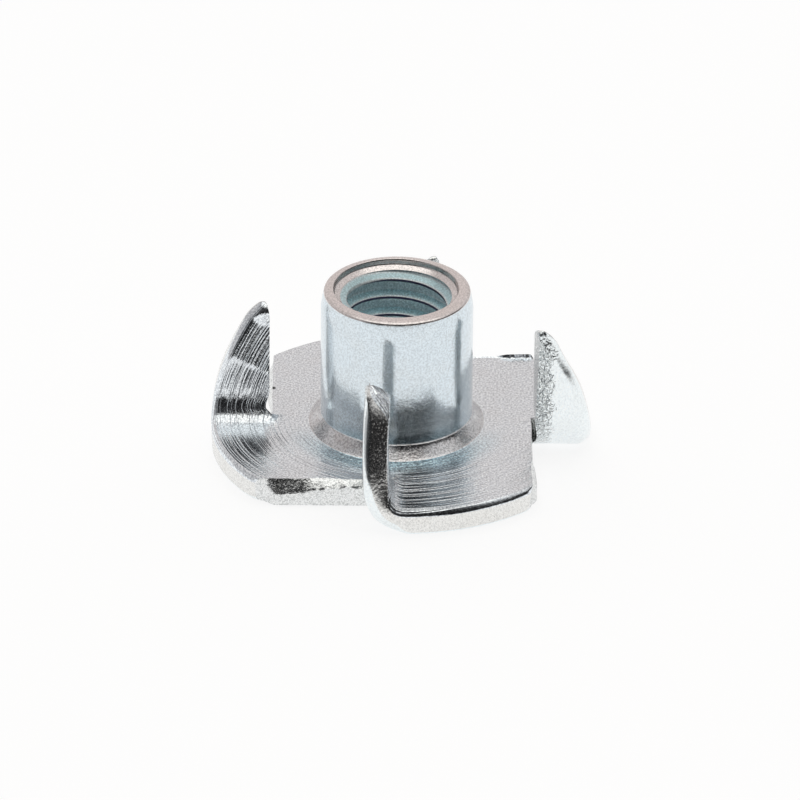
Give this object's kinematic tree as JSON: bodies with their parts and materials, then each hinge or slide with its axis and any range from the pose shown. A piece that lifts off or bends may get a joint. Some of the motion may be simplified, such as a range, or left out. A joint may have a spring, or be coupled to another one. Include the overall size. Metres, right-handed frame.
{
  "type": "tee nut",
  "caption": "Pronged tee nut: a threaded barrel on a round sheet-steel flange whose bent-up prongs bite into wood, so that a bolt can be driven from the far side.",
  "frame": {"origin": "the barrel's axis at the underside of the flange", "axes": "+Z along the barrel's axis, from the flange to the rim. The shear lines of the flange run along X and Y, and the prong at -Y stands just on the -X side of the centre line."},
  "size_m": [0.0193, 0.0192, 0.0088],
  "materials": {
    "zinc_plate": "bright zinc plating with a clear blue passivate"
  },
  "bodies": {
    "root": {"tee_nut": "zinc_plate"}
  },
  "joints": []
}
